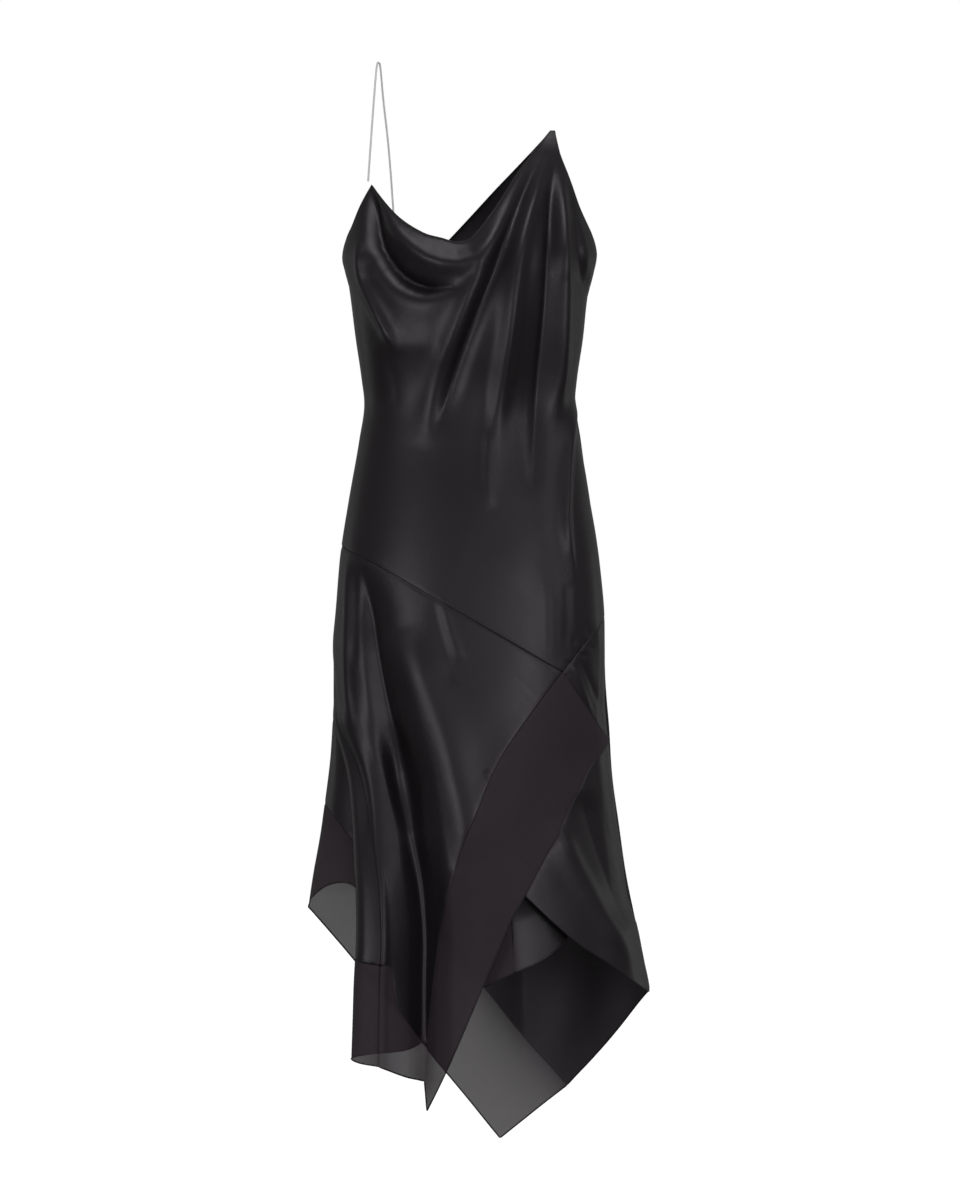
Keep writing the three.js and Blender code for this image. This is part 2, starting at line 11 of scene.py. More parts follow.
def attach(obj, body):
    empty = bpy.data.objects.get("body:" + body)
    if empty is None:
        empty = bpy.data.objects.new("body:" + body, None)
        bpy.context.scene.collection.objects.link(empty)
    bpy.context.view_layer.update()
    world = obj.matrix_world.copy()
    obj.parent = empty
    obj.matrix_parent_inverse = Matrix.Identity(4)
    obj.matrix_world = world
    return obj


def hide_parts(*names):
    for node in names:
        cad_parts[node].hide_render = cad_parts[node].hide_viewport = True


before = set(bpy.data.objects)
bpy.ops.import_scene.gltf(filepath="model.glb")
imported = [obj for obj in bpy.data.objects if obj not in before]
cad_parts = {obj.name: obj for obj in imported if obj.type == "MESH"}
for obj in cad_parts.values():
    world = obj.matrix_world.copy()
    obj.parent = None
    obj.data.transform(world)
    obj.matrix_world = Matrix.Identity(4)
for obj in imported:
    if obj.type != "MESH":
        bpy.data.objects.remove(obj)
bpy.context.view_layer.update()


# The studio: a white floor far below the dress, a white surround and soft lamps, with a long lens
# straight in front and level with the hips, as in a catalogue picture of a garment.
CAMERA_PLACE, LENS_LENGTH, FILM_WIDTH = (0.012, -6.0, -0.6456), 150, 36
FLOOR_LEVEL, FLOOR_HALF = -1.7, 12.0
WHITE, SOFT_LIGHT = 1.0, 0.2


def add_camera():
    lens = bpy.data.cameras.new("camera")
    lens.lens = LENS_LENGTH
    lens.sensor_width = FILM_WIDTH
    lens.clip_end = 40
    camera = bpy.data.objects.new("camera", lens)
    camera.location = CAMERA_PLACE
    camera.rotation_euler = (math.radians(90), 0, 0)
    bpy.context.scene.collection.objects.link(camera)
    bpy.context.scene.camera = camera


def add_lamp(name, place, aim, size, watts):
    lamp = bpy.data.lights.new(name, "AREA")
    lamp.shape = "RECTANGLE"
    lamp.size, lamp.size_y = size
    lamp.energy = watts
    holder = bpy.data.objects.new(name, lamp)
    holder.location = place
    holder.rotation_euler = (Vector(aim) - Vector(place)).to_track_quat("-Z", "Y").to_euler()
    holder.visible_camera = False
    bpy.context.scene.collection.objects.link(holder)


def white_when_seen(tree, otherwise):
    rays = tree.nodes.new("ShaderNodeLightPath")
    pick = tree.nodes.new("ShaderNodeMix")
    pick.inputs["A"].default_value = otherwise
    pick.inputs["B"].default_value = WHITE
    tree.links.new(rays.outputs["Is Camera Ray"], pick.inputs["Factor"])
    return pick.outputs["Result"]


def add_floor():
    ways = ((-1, -1), (1, -1), (1, 1), (-1, 1))
    corners = [(x * FLOOR_HALF, y * FLOOR_HALF, FLOOR_LEVEL) for x, y in ways]
    mesh = bpy.data.meshes.new("floor")
    mesh.from_pydata(corners, [], [(0, 1, 2, 3)])
    floor = bpy.data.objects.new("floor", mesh)
    bpy.context.scene.collection.objects.link(floor)
    white = bpy.data.materials.new("floor white")
    white.use_nodes = True
    shader = white.node_tree.nodes["Principled BSDF"]
    shader.inputs["Base Color"].default_value = (0.3, 0.3, 0.3, 1)
    shader.inputs["Roughness"].default_value = 0.95
    shader.inputs["Emission Color"].default_value = (1, 1, 1, 1)
    white.node_tree.links.new(white_when_seen(white.node_tree, 0.0), shader.inputs["Emission Strength"])
    mesh.materials.append(white)


def add_sky():
    world = bpy.data.worlds.new("studio")
    world.use_nodes = True
    background = world.node_tree.nodes["Background"]
    background.inputs["Color"].default_value = (1, 1, 1, 1)
    strength = white_when_seen(world.node_tree, SOFT_LIGHT)
    world.node_tree.links.new(strength, background.inputs["Strength"])
    bpy.context.scene.world = world
    bpy.context.scene.view_settings.view_transform = "Standard"


add_camera()
add_floor()
add_sky()
add_lamp("front", (0.5, -4.4, -0.9), (0, 0, -0.65), (2.6, 1.6), 8)
add_lamp("key", (-2.3, -3.2, -0.95), (0, 0, -0.4), (0.8, 1.2), 18)
add_lamp("fill", (1.9, -3.4, -0.8), (0, 0, -0.35), (0.8, 1.2), 13)
add_lamp("side", (2.8, -2.0, 0.2), (0.1, 0, -0.4), (0.5, 1.0), 5)
add_lamp("top", (0.2, -1.5, 2.2), (0.03, 0, -0.2), (1.8, 1.4), 23)
add_lamp("rim", (2.2, 1.3, -0.9), (0, 0, -0.95), (0.6, 1.2), 1.4)
add_lamp("left rim", (-2.2, 1.3, -0.7), (0, 0, -0.7), (0.5, 1.2), 1.2)
add_lamp("back", (0, 4.4, 0.5), (0, 0, -0.6), (1.0, 1.4), 11)


# Front body: one bias-cut panel of satin with the cowl at the neck, a small peak for the strap at its
# left and the shoulder point at its right, sewn to the back along both sides. It sets the figure that
# every panel is draped on: how far each height reaches, and how the pleat folds below the hips.
METRE = 0.001
LEFT_SEAM, RIGHT_SEAM, LOBE, ONCE_ROUND = -90, 90, 240, 360
LEFT_SEAM_BACK = LEFT_SEAM + ONCE_ROUND
BOXY = 0.72
EASED_HEIGHT, EASED_FIGURE = 16, 26
SECTIONS = [
    dict(z=-40, left=104, right=104, front=2, back=2),
    dict(z=-82, left=114, right=113, front=4, back=4),
    dict(z=-118, left=123, right=122, front=46, back=46),
    dict(z=-154, left=135, right=132, front=82, back=76),
    dict(z=-190, left=145, right=144, front=102, back=92),
    dict(z=-211, left=151, right=150.5, front=110, back=96),
    dict(z=-232, left=154.5, right=154, front=116, back=98),
    dict(z=-254, left=149.5, right=149, front=120, back=98),
    dict(z=-270, left=145, right=143, front=121, back=97),
    dict(z=-334, left=137, right=135, front=112, back=88),
    dict(z=-382, left=130, right=128, front=97, back=80),
    dict(z=-410, left=127, right=126, front=90, back=76),
    dict(z=-454, left=133, right=132, front=91, back=84),
    dict(z=-526, left=145, right=144, front=99, back=106),
    dict(z=-598, left=156, right=155, front=105, back=122),
    dict(z=-670, left=162, right=161, front=107, back=127),
    dict(z=-730, left=169, right=161, front=108, back=126),
    dict(z=-766, left=175, right=162, front=109, back=125),
    dict(z=-796, left=181.5, right=164, front=110, back=125),
    dict(z=-838, left=180.5, right=167, front=112, back=126),
    dict(z=-910, left=185, right=176, front=116, back=130),
    dict(z=-982, left=193, right=188, front=120, back=134),
    dict(z=-1054, left=200, right=204, front=123, back=138),
    dict(z=-1114, left=204, right=216, front=125, back=140),
    dict(z=-1320, left=208, right=230, front=130, back=146),
]
PLEATED = [
    dict(at=-90, across=-0.52, deep=-0.94),
    dict(at=-75, across=-0.46, deep=-0.88),
    dict(at=-60, across=-0.36, deep=-0.75),
    dict(at=-46, across=-0.265, deep=-0.58),
    dict(at=-34, across=-0.185, deep=-0.77),
    dict(at=-22, across=-0.085, deep=-0.95),
    dict(at=-5, across=0.07, deep=-1.02),
    dict(at=12, across=0.26, deep=-1.0),
    dict(at=30, across=0.48, deep=-0.9),
    dict(at=50, across=0.71, deep=-0.69),
    dict(at=70, across=0.92, deep=-0.38),
    dict(at=90, across=1, deep=0),
    dict(at=110, across=0.93, deep=0.38),
    dict(at=135, across=0.7, deep=0.72),
    dict(at=165, across=0.3, deep=0.97),
    dict(at=195, across=-0.14, deep=1.0),
    dict(at=212, across=-0.45, deep=0.9),
    dict(at=225, across=-0.74, deep=0.68),
    dict(at=234, across=-0.92, deep=0.38),
    dict(at=240, across=-0.995, deep=0.08),
    dict(at=247, across=-0.89, deep=-0.2),
    dict(at=254, across=-0.63, deep=-0.36),
    dict(at=256, across=-0.46, deep=-0.37),
    dict(at=257.2, across=-0.355, deep=-0.4),
    dict(at=258.2, across=-0.33, deep=-0.45),
    dict(at=259.6, across=-0.38, deep=-0.51),
    dict(at=262, across=-0.6, deep=-0.62),
    dict(at=265, across=-0.68, deep=-0.77),
    dict(at=267.5, across=-0.63, deep=-0.89),
]
PLEATING = [
    dict(z=-700, open=0),
    dict(z=-748, open=0.13),
    dict(z=-793, open=0.3),
    dict(z=-858, open=0.6),
    dict(z=-935, open=0.8),
    dict(z=-992, open=0.94),
    dict(z=-1060, open=1),
    dict(z=-1320, open=1),
]


def through(rows, key, column):
    rows = sorted(rows, key=lambda row: row[key])
    xs = np.array([row[key] for row in rows], float)
    ys = np.array([row[column] for row in rows], float)
    slope = np.diff(ys) / np.diff(xs)
    tangent = np.concatenate([slope[:1], np.zeros(len(xs) - 2), slope[-1:]])
    before, after = slope[:-1], slope[1:]
    same = before * after > 0
    tangent[1:-1][same] = 2 * (before * after)[same] / (before + after)[same]

    def value(at):
        at = np.asarray(at, float)
        i = np.clip(np.searchsorted(xs, at, side="right") - 1, 0, len(xs) - 2)
        run = xs[i + 1] - xs[i]
        t = np.clip((at - xs[i]) / run, 0, 1)
        level = ys[i] + (ys[i + 1] - ys[i]) * t * t * (3 - 2 * t)
        return level + run * t * (1 - t) * ((1 - t) * tangent[i] - t * tangent[i + 1])

    return value


def eased(value, spread):
    shifts = np.linspace(-spread, spread, 7)
    return lambda at: sum(value(np.asarray(at, float) + shift) for shift in shifts) / 7


reach_left, reach_right = through(SECTIONS, "z", "left"), through(SECTIONS, "z", "right")
reach_front = eased(through(SECTIONS, "z", "front"), EASED_FIGURE)
reach_back = eased(through(SECTIONS, "z", "back"), EASED_FIGURE)
round_and_round = [dict(row, at=row["at"] + ONCE_ROUND * turn) for turn in (-1, 0, 1) for row in PLEATED]
pleated_across = through(round_and_round, "at", "across")
pleated_deep = through(round_and_round, "at", "deep")
pleats_open = eased(through(PLEATING, "z", "open"), EASED_HEIGHT)


def on_section(angle, z):
    angle, z = np.broadcast_arrays(np.asarray(angle, float), np.asarray(z, float))
    side, ahead = np.sin(np.radians(angle)), -np.cos(np.radians(angle))
    opened = pleats_open(z)
    across = side + (pleated_across(angle) - side) * opened
    boxed = np.sign(ahead) * np.abs(ahead) ** BOXY
    deep = boxed + (pleated_deep(angle) - boxed) * opened
    x = across * np.where(across < 0, reach_left(z), reach_right(z))
    y = deep * np.where(deep < 0, reach_front(z), reach_back(z))
    return np.stack([x, y, z], -1)


def out_of_section(angle, z):
    turn, rise = 0.2, 0.5
    round_way = on_section(angle + turn, z) - on_section(angle - turn, z)
    up_way = on_section(angle, z + rise) - on_section(angle, z - rise)
    normal = np.cross(round_way, up_way)
    return normal / np.linalg.norm(normal, axis=-1, keepdims=True)


def smooth(points, count):
    points = np.array(points, float)
    ends = np.concatenate([points[:1], points, points[-1:]])
    at = np.linspace(0, len(points) - 1, count + 1)
    i = np.minimum(at.astype(int), len(points) - 2)
    t = (at - i)[:, None]
    a, b, c, d = ends[i], ends[i + 1], ends[i + 2], ends[i + 3]
    pull = ((2 * a - 5 * b + 4 * c - d) + (3 * b - a - 3 * c + d) * t) * t * t
    return b + 0.5 * ((c - a) * t + pull)


def beside(line, points):
    line = np.asarray(line, float)
    best = np.full(len(points), np.inf)
    along, turn = np.zeros(len(points)), np.zeros(len(points))
    for i, (start, end) in enumerate(zip(line[:-1], line[1:])):
        run = end - start
        away = points - start
        t = np.clip((away @ run) / (run @ run), 0, 1)
        off = np.linalg.norm(away - t[:, None] * run, axis=1)
        near = off < best
        best[near] = off[near]
        along[near] = (i + t[near]) / (len(line) - 1)
        turn[near] = run[0] * away[near, 1] - run[1] * away[near, 0]
    return np.where(turn < 0, -best, best), along


def ease(t):
    t = np.clip(t, 0, 1)
    return t * t * (3 - 2 * t)


# The folds of the whole dress. A row gives the side, how far the cloth stands out, how wide it is at the
# start and the end, how much wider on one side, and the line of (x, z) points as seen from the front. The
# large folds come first, which the solids have too, then the creases, drags and puckers of soft satin.
FOLD_ROWS = [
    ("front", 7, (10, 13), 1,
     [(-124, -104), (-112, -158), (-92, -204), (-66, -231), (-32, -248), (6, -243), (44, -190),
      (80, -124)]),
    ("front", -18, (9, 6), 1.9,
     [(-126, -110), (-119, -166), (-111, -218), (-94, -254), (-72, -272), (-46, -279), (-4, -277)]),
    ("front", 1.0, (12, 13), 1, [(-120, -240), (-102, -278), (-66, -298), (-20, -299)]),
    ("front", 4, (8, 9), 1, [(-132, -204), (-128, -258), (-112, -299), (-84, -360)]),
    ("front", 5, (12, 16), 1, [(46, -190), (6, -272), (-32, -372), (-56, -470)]),
    ("front", -8, (6, 9), 1.7, [(88, -112), (60, -172), (26, -264), (-12, -360), (-42, -456)]),
    ("front", 8, (9, 14), 1, [(97, -100), (78, -162), (57, -238), (48, -322), (36, -400), (22, -540)]),
    ("front", -9, (8, 12), 1, [(99, -120), (97, -200), (92, -300), (82, -400), (74, -530)]),
    ("front", 7, (8, 10), 1, [(105, -118), (110, -200), (112, -286), (109, -370), (102, -440)]),
    ("front", 5, (11, 10), 0.4, [(128, -400), (122, -440), (117, -490), (116, -550), (126, -640)]),
    ("front", 0.6, (26, 26), 1, [(0, -590), (50, -612), (104, -648), (176, -700)]),
    ("front", -15, (10, 9), 2.1, [(-130, -596), (-120, -680), (-105, -765), (-86, -850), (-68, -930)]),
    ("front", 7, (24, 26), 1, [(-86, -676), (-46, -764), (-16, -856), (2, -960)]),
    ("front", -6, (18, 18), 1, [(132, -870), (156, -945), (190, -1040)]),
    ("front", 5, (14, 13), 1, [(98, -900), (120, -955), (148, -1006), (200, -1090)]),
    ("back", 7, (12, 20), 1, [(92, -116), (60, -236), (14, -360), (-30, -470)]),
    ("back", -7, (11, 18), 1, [(98, -140), (88, -260), (52, -380), (14, -500)]),
    ("back", -3.5, (20, 20), 1, [(-130, -318), (-50, -366), (20, -366), (100, -318)]),
    ("back", 14, (26, 34), 1, [(100, -690), (118, -960), (132, -1240)]),
    ("back", -16, (24, 30), 1, [(50, -700), (62, -960), (70, -1300)]),
    ("back", 16, (26, 34), 1, [(-5, -640), (-2, -960), (6, -1300)]),
    ("back", -16, (24, 30), 1, [(-56, -720), (-66, -960), (-72, -1260)]),
    ("front", 3.4, (4, 6), 0.8, [(-131, -216), (-127, -262), (-111, -300), (-84, -357)]),
    ("front", 1.2, (14, 14), 1, [(-104, -322), (-76, -344), (-36, -340)]),
    ("front", -0.8, (9, 9), 1, [(-104, -350), (-90, -384), (-88, -420)]),
    ("front", 0.9, (6, 7), 1, [(-98, -196), (-60, -222), (-16, -236), (16, -226)]),
    ("front", 2.0, (7, 9), 1.2, [(34, -216), (8, -268), (-10, -315), (-34, -376)]),
    ("front", -2.4, (5, 7), 1, [(46, -228), (17, -294), (-14, -372), (-40, -446)]),
    ("front", 2.0, (7, 9), 1.2, [(88, -128), (66, -200), (52, -290), (40, -384), (26, -452)]),
    ("front", -1.0, (6, 8), 1, [(80, -250), (74, -330), (66, -400), (62, -476)]),
    ("front", 1.6, (5, 6), 1.2, [(107, -130), (111, -220), (112, -300), (108, -400)]),
    ("front", -1.6, (5, 7), 1, [(98, -132), (98, -210), (94, -300), (88, -390)]),
    ("front", -2.5, (4, 6), 1, [(116, -150), (129, -226), (136, -290)]),
    ("front", 2.0, (5, 6), 1, [(122, -176), (138, -238), (140, -286)]),
    ("front", 2.2, (4.5, 4), 0.6, [(123, -424), (117, -470), (114, -520), (114, -560), (122, -598)]),
    ("front", 1.4, (5, 7), 1, [(22, -440), (20, -490), (24, -540)]),
    ("front", 0.4, (4, 4), 1, [(88, -612), (89, -660), (90, -708)]),
    ("front", 0.4, (4, 4), 1, [(98, -614), (98, -664), (99, -716)]),
    ("front", 0.4, (3, 4), 1, [(107, -618), (107, -664), (107, -712)]),
    ("front", -0.5, (4, 4), 1, [(115, -624), (115, -664), (114, -704)]),
    ("front", 0.5, (4, 4), 1, [(122, -628), (123, -660), (124, -690)]),
    ("front", -1.0, (1.6, 2.2), 1, [(112, -718), (121, -722), (130, -727)]),
    ("front", -1.0, (1.6, 2.2), 1, [(122, -704), (131, -710), (140, -712)]),
    ("front", -0.9, (1.5, 2.0), 1, [(133, -694), (141, -700), (148, -701)]),
    ("front", -0.9, (1.5, 2.0), 1, [(128, -708), (124, -700), (123, -690)]),
    ("front", -0.8, (1.5, 2.0), 1, [(143, -688), (139, -680), (139, -672)]),
    ("front", 1.4, (4, 5), 1, [(150, -668), (156, -720), (152, -790)]),
    ("front", -1.4, (3, 4), 1, [(126, -706), (142, -740), (158, -780)]),
    ("front", 1.2, (3, 3), 1, [(120, -716), (134, -752), (148, -790)]),
    ("front", 2.4, (4, 5), 0.8, [(-146, -590), (-147, -660), (-147, -740), (-140, -800)]),
    ("front", -1.6, (3, 4), 1, [(-138, -596), (-138, -660), (-138, -730)]),
    ("front", 1.5, (6, 9), 0.7, [(-34, -640), (-22, -682), (-8, -722)]),
    ("front", -1.2, (6, 9), 1, [(-44, -644), (-32, -700), (-16, -750)]),
    ("front", 0.9, (6, 8), 1, [(-128, -720), (-116, -780), (-104, -850)]),
    ("front", 0.9, (3, 3), 1, [(18, -846), (24, -856), (30, -872)]),
    ("front", 1.4, (4, 5), 1, [(-14, -960), (-24, -984), (-34, -1010)]),
    ("front", -1.0, (10, 12), 1, [(136, -790), (160, -900), (184, -980), (200, -1060)]),
    ("front", 1.4, (10, 12), 1, [(146, -790), (170, -900), (188, -980), (206, -1070)]),
    ("front", 1.0, (8, 9), 0.8, [(110, -920), (132, -962), (158, -1012), (196, -1086)]),
    ("back", 2.4, (6, 8), 1, [(88, -130), (62, -220), (28, -330)]),
    ("back", -2.0, (5, 7), 1, [(98, -200), (84, -300), (60, -390)]),
    ("back", 2.0, (7, 9), 1, [(120, -400), (124, -470), (118, -560)]),
    ("back", 1.6, (8, 10), 1, [(-110, -420), (-116, -500), (-120, -570)]),
    ("back", 3.0, (10, 14), 1, [(140, -600), (166, -900), (182, -1060)]),
    ("back", -3.0, (8, 12), 1, [(80, -680), (98, -900), (110, -1100)]),
    ("back", 3.0, (9, 12), 1, [(-26, -610), (-36, -820), (-40, -1000)]),
    ("back", -3.0, (9, 12), 1, [(-92, -650), (-116, -820), (-130, -960)]),
]
FOLD_STEPS, FOLD_FADE = 14, 0.25
ROUND_RIDGE, SHARP_VALLEY = 2, 1.35
RIPPLE_COUNT, RIPPLE_DEPTH = 9, 0.16
FOLDS = [
    dict(side=side, out=out, wide=wide, lean=lean, line=smooth(line, FOLD_STEPS))
    for side, out, wide, lean, line in FOLD_ROWS
]
waves = np.random.default_rng(7)
RIPPLES = [
    (waves.uniform(-1, 1) * 0.05, waves.uniform(0.6, 1.0) * 0.075, waves.uniform(0, 6.28))
    for _ in range(RIPPLE_COUNT)
]


def folded_out(angle, place):
    out = np.zeros(len(angle))
    front = angle <= RIGHT_SEAM
    seen_at = place[:, [0, 2]]
    for fold in FOLDS:
        here = front if fold["side"] == "front" else ~front
        margin = 3 * max(fold["wide"]) * max(1, fold["lean"])
        low, high = fold["line"].min(0) - margin, fold["line"].max(0) + margin
        here = here & np.all((seen_at > low) & (seen_at < high), axis=1)
        if not here.any():
            continue
        off, along = beside(fold["line"], seen_at[here])
        wide = fold["wide"][0] + (fold["wide"][1] - fold["wide"][0]) * along
        wide = np.where(off > 0, wide * fold["lean"], wide)
        fade = ease(along / FOLD_FADE) * ease((1 - along) / FOLD_FADE)
        bend = ROUND_RIDGE if fold["out"] > 0 else SHARP_VALLEY
        out[here] += fold["out"] * fade * np.exp(-(np.abs(off / wide) ** bend))
    for up, across, start in RIPPLES:
        wave = seen_at[:, 0] * across + seen_at[:, 1] * up + start + np.where(front, 0, 2)
        out += RIPPLE_DEPTH * np.sin(wave)
    return out


# A cut edge can be drawn as it is seen, in (x, z), or laid on the cloth, in (grain, z), where the grain
# is the way round the figure in degrees. Either way its points end up one stitch apart.
STITCH, DEGREE_WIDE = 2.4, 2.4
CURVE_STEPS, HALVINGS = 12, 40


def grain_at(side, x, z):
    x, z = np.broadcast_arrays(np.asarray(x, float), np.asarray(z, float))
    low = np.full(x.shape, float(LEFT_SEAM if side == "front" else LEFT_SEAM_BACK))
    high = np.full(x.shape, float(RIGHT_SEAM))
    if side == "back":
        low = np.where(z < PLEATING[0]["z"], float(LOBE), low)
    for _ in range(HALVINGS):
        middle = (low + high) / 2
        left_of = on_section(middle, z)[..., 0] < x
        low, high = np.where(left_of, middle, low), np.where(left_of, high, middle)
    return (low + high) / 2


def run_along(points):
    steps = np.linalg.norm(np.diff(points, axis=0), axis=1)
    return np.concatenate([[0], np.cumsum(steps)])


def spaced(points):
    length = run_along(points)
    count = max(1, int(math.ceil(length[-1] / STITCH)))
    at = np.linspace(0, length[-1], count + 1)
    return np.stack([np.interp(at, length, points[:, k]) for k in range(2)], -1)


def curve(points, curved):
    if curved and len(points) > 2:
        return smooth(points, CURVE_STEPS * len(points))
    return np.array(points, float)


def seen(side, points, curved=True):
    line = spaced(curve(points, curved))
    return np.stack([grain_at(side, line[:, 0], line[:, 1]), line[:, 1]], -1)


def laid(points):
    return spaced(curve(points, True) * (DEGREE_WIDE, 1)) / (DEGREE_WIDE, 1)


def flipped(line):
    return line[::-1]


def from_behind(line):
    return flipped(line) + (ONCE_ROUND, 0)


# Shaping a cut piece: its outline is laid flat, as wide as the figure is round at the piece's own height,
# and filled with a fine net of points, which is then draped. Near a seam the cloth dips into it, and near
# the neck it curls over.
NET, NET_ROW, NET_CLEAR = 2.9, 0.87, 0.55
EDGE_NET, EDGE_CLEAR, LEAST_STEP = 1.1, 0.9, 0.35
GRAIN = np.linspace(LEFT_SEAM - 2, LEFT_SEAM_BACK + 2, 3641)
# The last of the seam values is how far the painted shade on the sheer reaches out from a seam.
SEAM_DIP, SEAM_WIDE, SEAM_SHADE_WIDE = 0.45, 1.5, 35
CURL_WIDE, CURL_START, CURL_END = 6, 0.12, 0.2
FRONT_CURL, BACK_CURL = 3.5, 2.5


def inside(points, outline):
    x, y = points[:, 0], points[:, 1]
    hit = np.zeros(len(points), bool)
    for (x0, y0), (x1, y1) in zip(outline, np.roll(outline, -1, axis=0)):
        if y0 == y1:
            continue
        crosses = (y0 > y) != (y1 > y)
        hit ^= crosses & (x < x0 + (y - y0) / (y1 - y0) * (x1 - x0))
    return hit


def fill(outline):
    ahead = np.roll(outline, -1, axis=0) - np.roll(outline, 1, axis=0)
    inward = np.stack([-ahead[:, 1], ahead[:, 0]], -1)
    inward /= np.linalg.norm(inward, axis=1, keepdims=True) + 1e-9
    closed = np.concatenate([outline, outline[:1]])
    low, high = outline.min(0), outline.max(0)
    rows = np.arange(low[1] + NET / 2, high[1], NET * NET_ROW)
    net = [outline + inward * EDGE_NET]
    for k, z in enumerate(rows):
        across = np.arange(low[0] + (k % 2) * NET / 2, high[0], NET)
        net.append(np.stack([across, np.full(len(across), z)], -1))
    apart = [EDGE_CLEAR] + [EDGE_NET + NET * NET_CLEAR] * len(rows)
    points = np.concatenate(net)
    least = np.repeat(apart, [len(part) for part in net])
    keep = inside(points, outline)
    points, least = points[keep], least[keep]
    off, _ = beside(closed, points)
    return points[np.abs(off) > least]


def drape(name, sides, height, under=None, curl=FRONT_CURL):
    length = run_along(on_section(GRAIN, height))
    outline, seams, neck = [], [], []
    for line, kind in sides:
        flat = np.stack([np.interp(line[:, 0], GRAIN, length), line[:, 1]], -1)
        outline.append(flat)
        if kind == "seam":
            seams.append(flat)
        if kind == "neck":
            neck.append(flat)
    outline = np.concatenate(outline)
    step = np.linalg.norm(outline - np.roll(outline, 1, axis=0), axis=1)
    outline = outline[step > LEAST_STEP]
    x, y = outline[:, 0], outline[:, 1]
    if np.sum(x * np.roll(y, -1) - np.roll(x, -1) * y) < 0:
        outline = outline[::-1]
    points = np.concatenate([outline, fill(outline)])
    result = delaunay_2d_cdt(
        [Vector(point) for point in points], [], [list(range(len(outline)))], 1, 1e-5
    )
    flat = np.array([tuple(v) for v in result[0]])
    faces = [tuple(face) for face in result[2]]
    angle, z = np.interp(flat[:, 0], length, GRAIN), flat[:, 1]
    place = on_section(angle, z)
    out = folded_out(angle, place)
    # Painted shade: how close each point lies to a seam, which the sheer reads to look darker there.
    seam_shade = np.zeros(len(flat))
    for line in seams:
        off, _ = beside(line, flat)
        out -= SEAM_DIP * np.exp(-((off / SEAM_WIDE) ** 2))
        seam_shade = np.maximum(seam_shade, np.exp(-np.abs(off) / SEAM_SHADE_WIDE))
    for line in neck:
        off, along = beside(line, flat)
        fade = ease(along / CURL_START) * ease((1 - along) / CURL_END)
        over = 1 - np.clip(np.abs(off) / CURL_WIDE, 0, 1)
        out -= curl * fade * (1 - np.sqrt(np.clip(1 - over ** 2, 0, 1)))
    if under is not None:
        out -= under(place)
    place = place + out_of_section(angle, z) * out[:, None]
    mesh = bpy.data.meshes.new(name)
    mesh.from_pydata((place * METRE).tolist(), [], faces)
    layer = mesh.uv_layers.new(name="cut")
    corner = np.empty(len(mesh.loops), dtype=np.int32)
    mesh.loops.foreach_get("vertex_index", corner)
    layer.data.foreach_set("uv", (flat[corner] * METRE).ravel())
    mesh.attributes.new("painted_seam_shade", "FLOAT", "POINT").data.foreach_set("value", seam_shade)
    mesh.polygons.foreach_set("use_smooth", [True] * len(mesh.polygons))
    mesh.update()
    piece = bpy.data.objects.new(name, mesh)
    bpy.context.scene.collection.objects.link(piece)
    return piece


# Satin is woven so closely that only a fine slanting line shows, with faint streaks where the yarn is
# uneven. Its wrong side is duller, and its colour is painted much lighter than the right side's: painted
# light, standing in for light in the shaded inside of the hollow dress. Both are made here, because the
# front body is cut from them first.
# The last row of values is the Mix node's own places for colours, which share their labels with others.
# The last value on the next line is how much less see-through the sheer is made beside a seam: painted
# shade.
BIAS, SATIN_THREADS, SATIN_THICK, SEAM_SHADE_ALPHA = 0.79, 2600.0, 0.0006, 0.06
MIX_DARK, MIX_LIGHT, MIX_COLOUR = 6, 7, 2


def new_group(name, inputs, outputs):
    group = bpy.data.node_groups.new(name, "ShaderNodeTree")
    for label, value in inputs:
        socket = group.interface.new_socket(name=label, in_out="INPUT", socket_type="NodeSocketFloat")
        socket.default_value = value
    for label in outputs:
        group.interface.new_socket(name=label, in_out="OUTPUT", socket_type="NodeSocketFloat")
    start, end = group.nodes.new("NodeGroupInput"), group.nodes.new("NodeGroupOutput")
    return group, start, end


def joined(tree, kind, settings=(), inputs=()):
    node = tree.nodes.new(kind)
    for label, value in settings:
        setattr(node, label, value)
    for label, value in inputs:
        if isinstance(value, bpy.types.NodeSocket):
            tree.links.new(value, node.inputs[label])
        else:
            node.inputs[label].default_value = value
    return node


def weave_group():
    inputs = [("Threads", SATIN_THREADS), ("Bias", BIAS)]
    group, start, end = new_group("weave", inputs, ["Height", "Streak"])
    cut = joined(group, "ShaderNodeUVMap", [("uv_map", "cut")])
    turned = joined(group, "ShaderNodeVectorRotate", [("rotation_type", "Z_AXIS")],
                    [("Vector", cut.outputs["UV"]), ("Angle", start.outputs["Bias"])])
    across, count = turned.outputs["Vector"], start.outputs["Threads"]
    thread = [("Vector", across), ("Scale", count), ("Distortion", 0.6)]
    warp = joined(group, "ShaderNodeTexWave", [("bands_direction", "X")], thread)
    weft = joined(group, "ShaderNodeTexWave", [("bands_direction", "Y")], thread)
    over = joined(group, "ShaderNodeMath", [("operation", "MULTIPLY_ADD")],
                  [(0, warp.outputs["Fac"]), (1, 0.7), (2, 0.0)])
    both = joined(group, "ShaderNodeMath", [("operation", "MULTIPLY_ADD")],
                  [(0, weft.outputs["Fac"]), (1, 0.3), (2, over.outputs["Value"])])
    pulled = joined(group, "ShaderNodeVectorMath", [("operation", "MULTIPLY")],
                    [(0, across), (1, (9.0, 260.0, 1.0))])
    streak = joined(group, "ShaderNodeTexNoise", [],
                    [("Vector", pulled.outputs["Vector"]), ("Scale", 1.0), ("Detail", 3.0)])
    group.links.new(both.outputs["Value"], end.inputs["Height"])
    group.links.new(streak.outputs["Fac"], end.inputs["Streak"])
    return group


WEAVE = weave_group()


def ranged(tree, value, limits):
    low, high = limits
    node = joined(tree, "ShaderNodeMapRange", [], [("Value", value), ("To Min", low), ("To Max", high)])
    return node.outputs["Result"]


